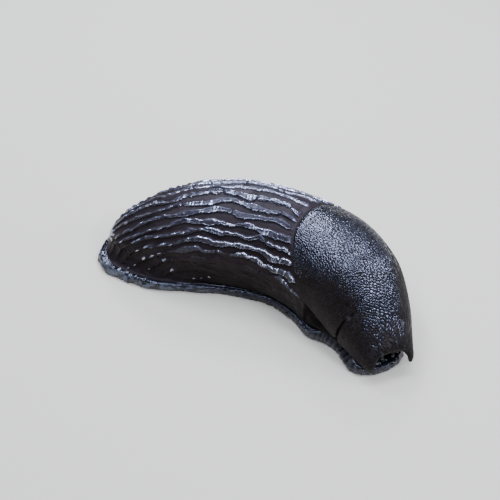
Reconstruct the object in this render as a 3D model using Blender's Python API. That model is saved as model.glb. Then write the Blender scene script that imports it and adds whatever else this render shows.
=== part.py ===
"""A black slug, drawn together as it rests: life size, in separate named solids.

Blender units are metres, +Z is up and the sole lies on z = 0. Sizes below are in millimetres.
The slug faces +X and bends to its right, towards -Y. A place on it is given by a station s, the
share of its length from the tail, and by an angle round the body in degrees, 0 on the back and
positive to the animal's left.
"""

import bmesh
import bpy
import numpy as np
from mathutils import Matrix

MM = 0.001

# Driving dimensions
LENGTH = 95.9
WIDTH = 28.0
HEIGHT = 23.6
GAP = 0.32
JOINT_GAP = 0.45
MIDDLE = (41.403, -15.285)

# The line of the body in plan: heading at the tail, and the turn to the right
HEADING_TAIL = -3.6
TURN = 68.1
TURN_FROM = 0.253
TURN_TO = 0.979

# Station, half width as a share of WIDTH / 2, and height of the back as a share of HEIGHT
BODY = [
    (0.045, 0.32, 0.42),
    (0.07, 0.38, 0.46),
    (0.12, 0.52, 0.57),
    (0.20, 0.74, 0.76),
    (0.32, 0.91, 0.91),
    (0.45, 0.99, 0.96),
    (0.58, 0.995, 0.955),
    (0.70, 0.98, 1.00),
    (0.80, 0.88, 0.955),
    (0.88, 0.72, 0.735),
    (0.95, 0.525, 0.48),
    (1.0, 0.395, 0.30),
    (1.05, 0.33, 0.20),
]
# Station and height of the body's widest line above the ground
WAIST = [
    (0.045, 5.4),
    (0.10, 6.8),
    (0.3, 8.8),
    (0.6, 8.8),
    (0.85, 6.9),
    (0.9, 5.6),
    (0.95, 4.3),
    (1.0, 3.6),
    (1.05, 3.5),
]
TAIL_TIP = 0.045
TAIL_ROUND = 0.07
GROOVE_ANGLE = 120.0
WALL_ANGLE = 132.0

# The foot: station, half width of the sole and its shift to the left of the middle line
FOOT = [
    (0.0, 7.6, -2.4),
    (0.09, 8.4, -1.0),
    (0.16, 11.4, -0.2),
    (0.21, 12.6, 0.0),
    (0.32, 12.8, 0.0),
    (0.5, 12.4, 0.0),
    (0.6, 11.7, 0.0),
    (0.7, 11.8, 0.0),
    (0.78, 12.1, 0.0),
    (0.84, 10.1, 0.8),
    (0.88, 7.9, 0.1),
    (0.93, 6.0, -1.4),
    (0.98, 5.2, -1.8),
]
FOOT_START = 0.032
FOOT_END = 0.972
FOOT_ROUND_TAIL = 0.085
FOOT_ROUND_FRONT = 0.030
SOLE_THICKNESS = 1.3
FRINGE_WIDTH = 2.0
FRINGE_HEIGHT = 2.5
FRINGE_PITCH = 2.7
FRINGE_RELIEF = 0.3
# The fringe's outline across and up, as shares of its width and height
FRINGE_SECTION = [(0.0, 0.0), (0.78, 0.0), (1.0, 0.22), (1.0, 0.55), (0.72, 0.88), (0.3, 1.0), (0.0, 1.0)]

# The mantle's rear margin, as angle and station, the same on both sides
MANTLE_REAR = [(0.0, 0.600), (20.0, 0.607), (40.0, 0.634), (55.0, 0.667), (70.0, 0.712), (84.0, 0.757)]
# The mantle's lower edge, as station and angle: the right one has the notch below the breathing pore
EDGE_LEFT = [
    (0.757, 84.0),
    (0.86, 86.0),
    (0.905, 98.0),
    (0.94, 96.0),
    (0.96, 97.0),
    (0.99, 95.0),
    (1.0, 94.0),
]
EDGE_RIGHT = [
    (0.757, 84.0),
    (0.84, 86.0),
    (0.858, 84.0),
    (0.872, 74.0),
    (0.889, 51.0),
    (0.896, 51.0),
    (0.906, 98.0),
    (0.94, 96.0),
    (0.96, 97.0),
    (0.99, 95.0),
    (1.0, 94.0),
]
EDGE_PLAIN = 84.0
EDGE_HANG = 0.1
MANTLE_RISE = 0.3
MANTLE_THICK = 2.0
HOOD_THICK = 1.5
MANTLE_FRONT = 0.988
HOOD_CORNER = 0.012
FAN_STATION = 0.80
FAN_SHARE = 0.4
PORE = (0.8925, -45.0)
PORE_DEPTH = 0.8
PORE_RADIUS = 0.9

# The ridges of the back
RIDGE_PITCH = 11.5
RIDGES_A_SIDE = 8
RIDGE_HEIGHT = 0.95
RIDGE_LENGTH = 9.0
RIDGE_SWAY = 1.6
RIDGE_SEED = 7
RIDGE_FADE = 0.03

# The cuts between the lengths of the body
TAIL_CUT = 0.20
BACK_CUT = 0.40
BACK_CORE_END = 0.600
SHOULDER_END = 0.92
SHOULDER_ROUND = 0.035
NECK_SHARE = 0.62
FLANK_INSET = 0.5
SOLE_CUT = 0.47

# The head, drawn in under the hood: station of its tip, half width and half height, height of its middle
HEAD_TIP = 0.966
HEAD_HALF = (3.5, 2.3)
HEAD_MIDDLE = 5.6
MOUTH_DROP = 1.0
MOUTH_HALF = 1.6
MOUTH_DEPTH = 0.45
# Distance from the middle line, height of the axis, station of the root, length and radius
UPPER_TENTACLE = (1.9, 6.2, 0.9665, 1.3, 0.8)
LOWER_TENTACLE = (1.35, 4.1, 0.969, 0.8, 0.45)
EYE_RADIUS = 0.32
EYE_CUP = 0.45


def remove_everything():
    for thing in list(bpy.data.objects):
        bpy.data.objects.remove(thing)


def material(name, colour, roughness):
    made = bpy.data.materials.new(name)
    made.use_nodes = True
    shader = made.node_tree.nodes["Principled BSDF"]
    shader.inputs["Base Color"].default_value = (*colour, 1.0)
    shader.inputs["Roughness"].default_value = roughness
    shader.inputs["Metallic"].default_value = 0.0
    made.diffuse_color = (*colour, 1.0)
    return made


def smoothstep(t):
    t = np.clip(t, 0.0, 1.0)
    return t * t * (3.0 - 2.0 * t)


def through(stations, x, column=1):
    """A smooth curve through the stations, with no overshoot between them."""
    knots = np.array([row[0] for row in stations], float)
    values = np.array([row[column] for row in stations], float)
    slopes = np.diff(values) / np.diff(knots)
    same_way = slopes[:-1] * slopes[1:] > 0.0
    sums = np.where(same_way, slopes[:-1] + slopes[1:], 1.0)
    tangents = np.zeros_like(values)
    tangents[1:-1] = np.where(same_way, 2.0 * slopes[:-1] * slopes[1:] / sums, 0.0)
    tangents[0] = slopes[0]
    tangents[-1] = slopes[-1]
    x = np.clip(np.asarray(x, float), knots[0], knots[-1])
    i = np.clip(np.searchsorted(knots, x, side="right") - 1, 0, len(knots) - 2)
    span = knots[i + 1] - knots[i]
    t = (x - knots[i]) / span
    start = (2.0 * t**3 - 3.0 * t**2 + 1.0) * values[i] + (t**3 - 2.0 * t**2 + t) * span * tangents[i]
    end = (3.0 * t**2 - 2.0 * t**3) * values[i + 1] + (t**3 - t**2) * span * tangents[i + 1]
    return start + end


def round_end(distance, radius):
    """0 at an end and 1 from radius on, as a quarter circle."""
    t = np.clip(distance / radius, 0.0, 1.0)
    return np.sqrt(1.0 - (1.0 - t) ** 2)


def plan_line():
    """Stations, x, y and heading along the middle of the body."""
    s = np.linspace(-0.05, 1.1, 1151)
    heading = np.radians(HEADING_TAIL - TURN * smoothstep((s - TURN_FROM) / (TURN_TO - TURN_FROM)))
    step = (s[1] - s[0]) * LENGTH
    x = np.concatenate([[0.0], np.cumsum((np.cos(heading[1:]) + np.cos(heading[:-1])) * step / 2.0)])
    y = np.concatenate([[0.0], np.cumsum((np.sin(heading[1:]) + np.sin(heading[:-1])) * step / 2.0)])
    x -= np.interp(0.0, s, x) + MIDDLE[0]
    y -= np.interp(0.0, s, y) + MIDDLE[1]
    return s, x, y, heading


LINE = plan_line()


def place(s, v, z):
    """The point at station s, v to the left of the middle line and z above the ground."""
    stations, xs, ys, headings = LINE
    heading = np.interp(s, stations, headings)
    x = np.interp(s, stations, xs) - v * np.sin(heading)
    y = np.interp(s, stations, ys) + v * np.cos(heading)
    return np.stack([x, y, z + 0.0 * x], -1)


def foot_edge(s, side):
    """Distance of the sole's edge to the left of the middle line, on the left side, 1, or the right, -1."""
    ends = round_end(s - FOOT_START, FOOT_ROUND_TAIL) * round_end(FOOT_END - s, FOOT_ROUND_FRONT)
    return through(FOOT, s, 2) + side * through(FOOT, s) * ends


def section(s, degrees, inset, size):
    """Distance from the middle line and height of the skin, drawn in by inset, at a share of its size."""
    turn = np.abs(degrees)
    side = np.sign(degrees)
    waist = through(WAIST, s)
    half = np.maximum(through(BODY, s) * WIDTH / 2.0 - inset, 0.05)
    rise = through(BODY, s, 2) * HEIGHT - inset - waist
    groove = np.maximum(side * foot_edge(s, side) - GAP - 0.1, 0.04)
    groove_drop = waist - FRINGE_HEIGHT - GAP - 0.05
    base_drop = waist - SOLE_THICKNESS - GAP
    upper_v = half * np.sin(np.radians(np.minimum(turn, 90.0))) ** 0.95
    upper_z = rise * np.cos(np.radians(np.minimum(turn, 90.0))) ** 0.92
    under = np.radians(90.0) * np.clip((turn - 90.0) / (GROOVE_ANGLE - 90.0), 0.0, 1.0)
    down = np.clip((turn - GROOVE_ANGLE) / (WALL_ANGLE - GROOVE_ANGLE), 0.0, 1.0)
    across = np.clip((180.0 - turn) / (180.0 - WALL_ANGLE), 0.0, 1.0)
    lower_v = (half + (groove - half) * (1.0 - np.cos(under))) * across
    lower_z = -groove_drop * np.sin(under) + (groove_drop - base_drop) * down
    v = np.where(turn <= 90.0, upper_v, lower_v)
    z = np.where(turn <= 90.0, upper_z, lower_z)
    return side * v * size, waist + z * size


def skin(s, degrees, inset=0.0, size=1.0):
    v, z = section(s, degrees, inset, size)
    return place(s, v, z)


def mesh_object(name, points, faces, look, sharp=50.0):
    mesh = bpy.data.meshes.new(name)
    mesh.from_pydata([tuple(point * MM) for point in points], [], faces)
    form = bmesh.new()
    form.from_mesh(mesh)
    bmesh.ops.triangulate(form, faces=form.faces)
    bmesh.ops.recalc_face_normals(form, faces=form.faces)
    form.to_mesh(mesh)
    form.free()
    mesh.shade_smooth()
    mesh.set_sharp_from_angle(angle=np.radians(sharp))
    mesh.materials.append(look)
    made = bpy.data.objects.new(name, mesh)
    bpy.context.scene.collection.objects.link(made)
    return made


def loft(name, rings, look, start=None, end=None):
    """A closed solid through rings of points, each end closed to a point, by default its ring's middle."""
    count, around = rings.shape[:2]
    start = rings[0].mean(0) if start is None else start
    end = rings[-1].mean(0) if end is None else end
    points = np.concatenate([rings.reshape(-1, 3), [start, end]])
    faces = []
    for i in range(count - 1):
        for j in range(around):
            k = (j + 1) % around
            faces.append((i * around + j, i * around + k, (i + 1) * around + k, (i + 1) * around + j))
    first = count * around
    last_ring = (count - 1) * around
    for j in range(around):
        k = (j + 1) % around
        faces.append((first, k, j))
        faces.append((first + 1, last_ring + j, last_ring + k))
    return mesh_object(name, points, faces, look)


def shell(name, outer, inner, look):
    """A closed solid between two sheets of points with the same layout."""
    rows, columns = outer.shape[:2]
    under = rows * columns
    points = np.concatenate([outer.reshape(-1, 3), inner.reshape(-1, 3)])
    index = np.arange(under).reshape(rows, columns)
    faces = []
    for i in range(rows - 1):
        for j in range(columns - 1):
            around = (index[i, j], index[i, j + 1], index[i + 1, j + 1], index[i + 1, j])
            a, b, c, d = (int(n) for n in around)
            faces.append((a, b, c, d))
            faces.append((a + under, d + under, c + under, b + under))
    rim = [int(n) for n in (*index[0], *index[1:, -1], *index[-1, -2::-1], *index[-2:0:-1, 0])]
    for a, b in zip(rim, [*rim[1:], rim[0]]):
        faces.append((a, b, b + under, a + under))
    return mesh_object(name, points, faces, look)


def rear_margin(degrees):
    return through(MANTLE_REAR, np.abs(degrees))


def ridge_columns():
    """Angle, lift and ridge number of each column of points round the back: crest 1, slopes, hollow 0."""
    columns = []
    for ridge in range(-RIDGES_A_SIDE, RIDGES_A_SIDE + 1):
        for offset, lift in ((-0.25, 0.3), (0.0, 1.0), (0.25, 0.3), (0.5, 0.0)):
            columns.append(((ridge + offset) * RIDGE_PITCH, lift, ridge))
    edge = columns.pop()[0]
    below = [(angle, 0.0, 0) for angle in (edge, 104.0, 112.0, GROOVE_ANGLE, WALL_ANGLE, 156.0)]
    other = [(-angle, 0.0, 0) for angle, _, _ in reversed(below)]
    return np.array([(-180.0, 0.0, 0), *other, *columns, *below])


def ridged(s, columns):
    """Skin points at stations s, a row for each station, raised by the ridges of the back."""
    angles, lifts = columns[:, 0], columns[:, 1]
    draws = np.random.default_rng(RIDGE_SEED).random((2 * RIDGES_A_SIDE + 1, 3))
    own = draws[columns[:, 2].astype(int) + RIDGES_A_SIDE]
    along = s * LENGTH / RIDGE_LENGTH
    sway = RIDGE_SWAY * np.sin(2.0 * np.pi * (along / (1.6 + 0.8 * own[:, 2]) + own[:, 1]))
    beads = 0.35 + 0.65 * np.abs(np.sin(np.pi * (along + own[:, 0]))) ** 0.6
    fade = smoothstep((s - TAIL_TIP) / 0.06) * (1.0 - 0.6 * smoothstep((np.abs(angles) - 60.0) / 35.0))
    fade = fade * (1.0 - 0.7 * smoothstep(1.0 - (rear_margin(angles) - s) / RIDGE_FADE))
    shifted = angles + np.where(lifts > 0.0, sway, 0.0)
    return skin(s, shifted, -RIDGE_HEIGHT * lifts * beads * fade, round_end(s - TAIL_TIP, TAIL_ROUND))


def back_length(name, look, start, end, rows):
    """A length of the ridged back, between two stations, or up to the mantle where no end is given."""
    columns = ridge_columns()
    trim = JOINT_GAP / 2.0 / LENGTH
    first = start + (0.0 if start == TAIL_TIP else trim)
    last = (rear_margin(columns[:, 0]) if end is None else end) - trim
    core = (BACK_CORE_END if end is None else end) - trim
    share = np.linspace(0.0, 1.0, rows)[:, None]
    if start == TAIL_TIP:
        share = share[1:] ** 1.6
    s = first + (last - first) * share + 0.0 * columns[:, 0]
    return loft(name, ridged(s, columns), look, middle(first), middle(core))


def middle(s):
    return place(s, 0.0, through(WAIST, s))


def mantle_thickness(s):
    return MANTLE_THICK + (HOOD_THICK - MANTLE_THICK) * smoothstep((s - 0.90) / 0.08)


def crowded(count, middle_at, spread, extra):
    """Shares from 0 to 1, closer together round one of them."""
    fine = np.linspace(0.0, 1.0, 400)
    density = 1.0 + extra * np.exp(-(((fine - middle_at) / spread) ** 2))
    run = np.concatenate([[0.0], np.cumsum((density[1:] + density[:-1]) / 2.0)])
    return np.interp(np.linspace(0.0, run[-1], count), run, fine)


def mantle_grid(across, along):
    """Stations and angles over the mantle: along runs from rear to front, across from right to left."""
    p = across[None, :]
    q = along[:, None]
    rear = rear_margin(np.abs(p) * EDGE_PLAIN) + JOINT_GAP / 2.0 / LENGTH
    front = MANTLE_FRONT + HOOD_CORNER * smoothstep((np.abs(p) - 0.3) / 0.5)
    fan = rear + (FAN_STATION - rear) * q / FAN_SHARE
    rest = FAN_STATION + (front - FAN_STATION) * (q - FAN_SHARE) / (1.0 - FAN_SHARE)
    s = np.where(q < FAN_SHARE, fan, rest)
    low = np.where(p >= 0.0, through(EDGE_LEFT, s), through(EDGE_RIGHT, s))
    return s, np.sign(p) * (EDGE_PLAIN * np.abs(p) + (low - EDGE_PLAIN) * p**2)


def mantle_skin(s, degrees, inset):
    """The mantle's skin: past the body's widest line it hangs straight down."""
    turn = np.minimum(np.abs(degrees), 90.0)
    v, z = section(s, np.sign(degrees) * turn, inset, 1.0)
    return place(s, v, z - EDGE_HANG * np.maximum(np.abs(degrees) - 90.0, 0.0))


def pore_dimple(s, degrees):
    half = through(BODY, s) * WIDTH / 2.0
    away = np.hypot((s - PORE[0]) * LENGTH, np.radians(degrees - PORE[1]) * half)
    return PORE_DEPTH * np.exp(-((away / PORE_RADIUS) ** 2))


def mantle(look):
    across = np.concatenate([[-1.0, -0.97], np.linspace(-0.92, 0.92, 31), [0.97, 1.0]])
    notch = FAN_SHARE + (1.0 - FAN_SHARE) * (PORE[0] - FAN_STATION) / (MANTLE_FRONT - FAN_STATION)
    along = np.concatenate([[0.0, 0.012], 0.04 + 0.94 * crowded(30, notch, 0.045, 3.5), [1.0]])
    s, angle = mantle_grid(across, along)
    thick = mantle_thickness(s)
    rim_across = np.interp(np.abs(across), [0.92, 0.97, 1.0], [0.0, 0.12, 0.5])
    rim_along = np.interp(along, [0.0, 0.012, 0.04, 0.95, 0.98, 1.0], [0.5, 0.15, 0.0, 0.0, 0.12, 0.5])
    rim = np.maximum(rim_across[None, :], rim_along[:, None]) * thick
    outer = mantle_skin(s, angle, np.maximum(rim, pore_dimple(s, angle)) - MANTLE_RISE)
    inner = mantle_skin(s, angle, thick - MANTLE_RISE)
    return shell("mantle", outer, inner, look)


def shoulder_inset(s, degrees):
    """How far the body lies inside the skin's outline: more under the mantle than on the flank."""
    edge = through(EDGE_LEFT, s)
    flank = smoothstep((np.abs(degrees) - edge - 4.0) / 14.0)
    covered = mantle_thickness(s) - MANTLE_RISE + GAP
    return covered + (FLANK_INSET - covered) * flank


def shoulder(look):
    """The body under the mantle, with the flank that shows below its edge."""
    low = [88.0, 94.0, 100.0, 106.0, 112.0, GROOVE_ANGLE, WALL_ANGLE, 156.0]
    side = np.array([*np.arange(9.0, 82.0, 9.0), *low])
    angles = np.concatenate([[-180.0], -side[::-1], [0.0], side])
    trim = JOINT_GAP / 2.0 / LENGTH
    margin = rear_margin(angles)
    v, z = section(margin, angles, 0.0, 1.0)
    reach = np.hypot(v, z - through(WAIST, margin))
    core = BACK_CORE_END + trim
    first = core + (margin + trim - core) * (1.0 - shoulder_inset(margin, angles) / reach)
    share = np.linspace(0.0, 1.0, 19)[:, None]
    s = first + (SHOULDER_END - first) * (1.0 - (1.0 - share) ** 1.25)
    neck = 1.0 - (1.0 - NECK_SHARE) * (1.0 - round_end(SHOULDER_END - s, SHOULDER_ROUND))
    rings = skin(s, angles + 0.0 * s, shoulder_inset(s, angles + 0.0 * s), neck)
    sunk = (1.0 - shoulder_inset(margin, angles) / reach)[:, None]
    rings[0] = middle(core) + (skin(margin + trim, angles) - middle(core)) * sunk
    return loft("shoulder", rings, look, middle(core), middle(SHOULDER_END))


def foot_outline(side, count=600):
    """Points, outward directions and distance run along one edge of the sole, from tail to front."""
    turn = np.linspace(0.0, np.pi, count)
    s = FOOT_START + (FOOT_END - FOOT_START) * (1.0 - np.cos(turn)) / 2.0
    points = place(s, foot_edge(s, side), 0.0)
    ahead = np.gradient(points, axis=0)
    ahead[0] = place(FOOT_START, side, 0.0) - place(FOOT_START, 0.0, 0.0)
    ahead[-1] = place(FOOT_END, -side, 0.0) - place(FOOT_END, 0.0, 0.0)
    ahead /= np.linalg.norm(ahead, axis=1, keepdims=True)
    outward = np.stack([-ahead[:, 1] * side, ahead[:, 0] * side, 0.0 * ahead[:, 0]], -1)
    run = np.concatenate([[0.0], np.cumsum(np.linalg.norm(np.diff(points, axis=0), axis=1))])
    return points, outward, run


def fringe(name, look, side, start, end):
    """A length of the foot's fringe, between two shares of the way round, with upright ribs."""
    points, outward, run = foot_outline(side)
    low = start * run[-1] + GAP / 2.0
    high = end * run[-1] - GAP / 2.0
    ribs = int(round((high - low) / FRINGE_PITCH)) * 2
    at = np.linspace(low, high, ribs + 1)
    root = np.stack([np.interp(at, run, points[:, k]) for k in range(3)], -1)
    out = np.stack([np.interp(at, run, outward[:, k]) for k in range(3)], -1)
    out /= np.linalg.norm(out, axis=1, keepdims=True)
    rib = np.where(np.arange(ribs + 1) % 2 == 0, -FRINGE_RELIEF / 2.0, FRINGE_RELIEF / 2.0)
    rings = []
    for across, up in FRINGE_SECTION:
        relief = rib if across > 0.5 and up > 0.1 else 0.0 * rib
        reach = across * FRINGE_WIDTH + relief
        rings.append(root + out * reach[:, None] + np.array([0.0, 0.0, up * FRINGE_HEIGHT]))
    return loft(name, np.stack(rings, 1), look)


def sole(name, look, start, end):
    """A length of the flat sole, inside the fringe."""
    turn = np.linspace(0.0, 1.0, 26)
    bend = turn**2 if start == FOOT_START else 1.0 - (1.0 - turn) ** 2
    trim = JOINT_GAP / 2.0 / LENGTH
    s = start + trim + (end - start - 2.0 * trim) * bend
    centre = through(FOOT, s, 2)
    half = np.maximum(foot_edge(s, 1) - centre - GAP, 0.12)
    shares = (-1.0, -0.4, 0.4, 1.0)
    rings = [place(s, centre + half * share, 0.0) for share in shares]
    rings += [place(s, centre + half * share, SOLE_THICKNESS) for share in reversed(shares)]
    return loft(name, np.stack(rings, 1), look)


def head(look):
    """The head, a blunt knob drawn in under the hood, with the line of the mouth across its front."""
    share = np.sin(np.linspace(0.0, np.pi / 2.0, 14))[:-1, None]
    angle = np.radians(np.arange(0.0, 360.0, 15.0))[None, :]
    start = SHOULDER_END + JOINT_GAP / LENGTH
    size = np.sqrt(1.0 - share**2.6)
    v = HEAD_HALF[0] * size * np.sin(angle)
    z = HEAD_MIDDLE + HEAD_HALF[1] * size * np.cos(angle)
    level = np.exp(-(((z - HEAD_MIDDLE + MOUTH_DROP) / 0.35) ** 2))
    mouth = MOUTH_DEPTH * level * smoothstep((MOUTH_HALF + 0.6 - np.abs(v)) / 0.9)
    s = start + (HEAD_TIP - start) * share - mouth / LENGTH * smoothstep((share - 0.6) / 0.3)
    return loft("head", place(s, v, z), look)


def tentacle(name, look, side, sizes, cup):
    """A short, drawn-in tentacle with a blunt tip, hollowed there if it carries an eye."""
    aside, height, root, length, radius = sizes
    steps = [(0.0, 0.86), (0.35, 0.9), (0.7, 1.0), (0.9, 0.92), (1.0, 0.74)]
    rings = []
    turn = np.radians(np.arange(0.0, 360.0, 30.0))
    if cup:
        steps.append((1.0 - 0.45 * EYE_CUP / length, 0.62))
    for along, wide in steps:
        v = side * aside + radius * wide * np.cos(turn)
        z = height + radius * wide * np.sin(turn)
        rings.append(place(root + along * length / LENGTH, v, z))
    tip = length - (EYE_CUP if cup else -0.12 * radius)
    return loft(name, np.stack(rings), look, None, place(root + tip / LENGTH, side * aside, height))


def eye(name, look, side):
    aside, height, root, length, _ = UPPER_TENTACLE
    form = bmesh.new()
    bmesh.ops.create_uvsphere(form, u_segments=12, v_segments=8, radius=EYE_RADIUS * MM)
    mesh = bpy.data.meshes.new(name)
    form.to_mesh(mesh)
    form.free()
    mesh.shade_smooth()
    mesh.materials.append(look)
    made = bpy.data.objects.new(name, mesh)
    centre = place(root + (length + 0.1) / LENGTH, side * aside, height)
    made.matrix_world = Matrix.Translation(centre * MM)
    bpy.context.scene.collection.objects.link(made)
    return made


def build():
    remove_everything()
    back_skin = material("back_skin", (0.012, 0.011, 0.013), 0.32)
    mantle_look = material("mantle_skin", (0.017, 0.014, 0.013), 0.42)
    flank_skin = material("flank_skin", (0.010, 0.010, 0.012), 0.36)
    fringe_skin = material("fringe_skin", (0.040, 0.042, 0.048), 0.28)
    sole_skin = material("sole_skin", (0.20, 0.19, 0.17), 0.40)
    eye_black = material("eye_black", (0.004, 0.004, 0.005), 0.08)
    back_length("tail", back_skin, TAIL_TIP, TAIL_CUT, 10)
    back_length("back_rear", back_skin, TAIL_CUT, BACK_CUT, 11)
    back_length("back_front", back_skin, BACK_CUT, None, 13)
    shoulder(flank_skin)
    mantle(mantle_look)
    sole("sole_rear", sole_skin, FOOT_START, SOLE_CUT)
    sole("sole_front", sole_skin, SOLE_CUT, FOOT_END)
    for side, word in ((1, "left"), (-1, "right")):
        fringe(f"fringe_{word}_tail", fringe_skin, side, 0.0, 0.34)
        fringe(f"fringe_{word}_middle", fringe_skin, side, 0.34, 0.67)
        fringe(f"fringe_{word}_front", fringe_skin, side, 0.67, 1.0)
        tentacle(f"tentacle_upper_{word}", flank_skin, side, UPPER_TENTACLE, True)
        tentacle(f"tentacle_lower_{word}", flank_skin, side, LOWER_TENTACLE, False)
        eye(f"eye_{word}", eye_black, side)
    head(flank_skin)


build()
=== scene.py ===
"""The looks of a black slug drawn together at rest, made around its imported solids.

Lengths are in millimetres until a mesh is made. A place on the animal is a station s, the share of
its length from the tail, and an angle round the body in degrees, 0 on the back and positive to the
animal's left. The form's own values are those of the solids, so the skin lies where they lie.
"""

import math

import bmesh
import bpy
import numpy as np
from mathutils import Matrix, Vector


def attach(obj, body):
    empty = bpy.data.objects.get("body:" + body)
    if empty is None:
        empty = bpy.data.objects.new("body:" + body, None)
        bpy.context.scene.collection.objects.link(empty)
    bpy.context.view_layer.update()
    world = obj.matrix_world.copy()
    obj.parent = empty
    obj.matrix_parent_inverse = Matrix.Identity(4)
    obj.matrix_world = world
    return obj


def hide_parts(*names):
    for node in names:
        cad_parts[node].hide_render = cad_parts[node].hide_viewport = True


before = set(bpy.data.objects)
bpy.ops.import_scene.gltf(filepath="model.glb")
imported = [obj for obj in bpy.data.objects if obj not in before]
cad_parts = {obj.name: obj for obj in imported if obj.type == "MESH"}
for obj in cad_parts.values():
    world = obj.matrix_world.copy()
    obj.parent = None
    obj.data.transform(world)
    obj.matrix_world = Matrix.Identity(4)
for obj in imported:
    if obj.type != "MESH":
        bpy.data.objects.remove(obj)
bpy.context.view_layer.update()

MM = 0.001

# The form, as in the solids
LENGTH = 95.9
WIDTH = 28.0
HEIGHT = 23.6
GAP = 0.32
MIDDLE = (41.403, -15.285)
HEADING_TAIL = -3.6
TURN = 68.1
TURN_FROM = 0.253
TURN_TO = 0.979
BODY = [
    (0.045, 0.32, 0.42), (0.07, 0.38, 0.46), (0.12, 0.52, 0.57), (0.20, 0.74, 0.76),
    (0.32, 0.91, 0.91), (0.45, 0.99, 0.96), (0.58, 0.995, 0.955), (0.70, 0.98, 1.00),
    (0.80, 0.88, 0.955), (0.88, 0.72, 0.735), (0.95, 0.525, 0.48), (1.0, 0.395, 0.30),
    (1.05, 0.33, 0.20),
]
WAIST = [
    (0.045, 5.4), (0.10, 6.8), (0.3, 8.8), (0.6, 8.8), (0.85, 6.9),
    (0.9, 5.6), (0.95, 4.3), (1.0, 3.6), (1.05, 3.5),
]
TAIL_TIP = 0.045
TAIL_ROUND = 0.07
GROOVE_ANGLE = 120.0
WALL_ANGLE = 132.0
FOOT = [
    (0.0, 7.6, -2.4), (0.09, 8.4, -1.0), (0.16, 11.4, -0.2), (0.21, 12.6, 0.0),
    (0.32, 12.8, 0.0), (0.5, 12.4, 0.0), (0.6, 11.7, 0.0), (0.7, 11.8, 0.0),
    (0.78, 12.1, 0.0), (0.84, 10.1, 0.8), (0.88, 7.9, 0.1), (0.93, 6.0, -1.4),
    (0.98, 5.2, -1.8),
]
FOOT_START = 0.032
FOOT_END = 0.972
FOOT_ROUND_TAIL = 0.085
FOOT_ROUND_FRONT = 0.030
SOLE_THICKNESS = 1.3
FRINGE_WIDTH = 2.0
FRINGE_HEIGHT = 2.5
MANTLE_REAR = [(0.0, 0.600), (20.0, 0.607), (40.0, 0.634), (55.0, 0.667), (70.0, 0.712), (84.0, 0.757)]
EDGE_FRONT = [(0.94, 96.0), (0.96, 97.0), (0.99, 95.0), (1.0, 94.0)]
EDGE_LEFT = [(0.757, 84.0), (0.86, 86.0), (0.905, 98.0), *EDGE_FRONT]
EDGE_PLAIN = 84.0
EDGE_HANG = 0.1
MANTLE_RISE = 0.3
MANTLE_THICK = 2.0
HOOD_THICK = 1.5
MANTLE_FRONT = 0.988
HOOD_CORNER = 0.012
FAN_STATION = 0.80
FAN_SHARE = 0.4
PORE = (0.8925, -45.0)
PORE_DEPTH = 0.8
PORE_RADIUS = 0.9
SHOULDER_END = 0.92
SHOULDER_ROUND = 0.035
NECK_SHARE = 0.62
FLANK_INSET = 0.5
HEAD_TIP = 0.966
HEAD_HALF = (3.5, 2.3)
HEAD_MIDDLE = 5.6
MOUTH_DROP = 1.0
MOUTH_HALF = 1.6
MOUTH_DEPTH = 0.45
UPPER_TENTACLE = (1.9, 6.2, 0.9665, 1.3, 0.8)
LOWER_TENTACLE = (1.35, 4.1, 0.969, 0.8, 0.45)
EYE_RADIUS = 0.32
EYE_CUP = 0.45

# How deep in the head a tentacle's root lies, and its shares of length and of radius from there
TENTACLE_ROOTED = 2.4
TENTACLE_STEPS = [(0.0, 0.86), (0.35, 0.9), (0.7, 1.0), (0.9, 0.92), (1.0, 0.74)]

# Loose bits with fewer points than this are taken out of the fused skin
SCRAP_POINTS = 100

# Round the pore: the wide dip, the crease that climbs from it and the lip in front of it
PORE_DIP = 0.55
PORE_CREASE = 0.35
PORE_LIP = 0.22

# The breathing pore's notch in the skin, narrower than in the solids: its two edges nearly meet
NOTCH = [
    (0.757, 84.0), (0.84, 91.0), (0.875, 96.0), (0.8875, 90.0),
    (0.8905, 60.0), (0.8925, 54.0), (0.8945, 66.0), (0.8975, 96.0),
    *EDGE_FRONT,
]

# Where each surface lies on the unwrap: the left, low, right and high of a tube with the lows and highs
# of its two ends, and of the mantle's top, underside and edge
MANTLE_UNWRAP = ((0.01, 0.54, 0.60, 0.98), (0.62, 0.54, 0.80, 0.70), (0.62, 0.71, 0.98, 0.715))
BODY_UNWRAP = ((0.01, 0.01, 0.99, 0.52), (0.002, 0.006), (0.523, 0.526))
FOOT_UNWRAP = ((0.66, 0.73, 0.99, 0.985), (0.722, 0.725), (0.987, 0.99))
HEAD_UNWRAP = ((0.82, 0.54, 0.98, 0.62), (0.53, 0.532), (0.63, 0.632))
TENTACLE_UNWRAP = ((0.82, 0.664, 0.90, 0.696), (0.66, 0.662), (0.698, 0.70))

# The order of the finishes on the skin
HOLLOW, MANTLE, FRINGE, HEAD, KEEL, GRAIN, DAMP = range(7)

# The keels of the back, as in the solids
KEEL_PITCH = 11.5
KEELS_A_SIDE = 8
KEEL_HEIGHT = 0.85
KEEL_LENGTH = 9.0
KEEL_SWAY = 1.6
KEEL_SEED = 7

# A keel across: its half widths above and below its line, the widths of its two sides, its height near
# the upper edge and its fall from there, how far inside each edge the painted highlight's rim lies and how
# wide it is, the lower rim's lip, the furrow below it, the grit on top, and the flutes and scallops along it
KEEL_UPPER = 0.92
KEEL_LOWER = 0.84
UPPER_SIDE = 0.75
LOWER_SIDE = 0.22
KEEL_TOP = 0.90
KEEL_FALL = 0.36
UPPER_RIM = (0.42, 0.20)
LOWER_RIM = (0.15, 0.105)
LIP_HEIGHT = 0.14
UNDERCUT = 0.18
KEEL_GRIT = 0.022
FLUTE_PITCH = 1.0
FLUTE_DEPTH = 0.20
SCALLOP_PITCH = 1.15
SCALLOP_DEPTH = 0.30

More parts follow.
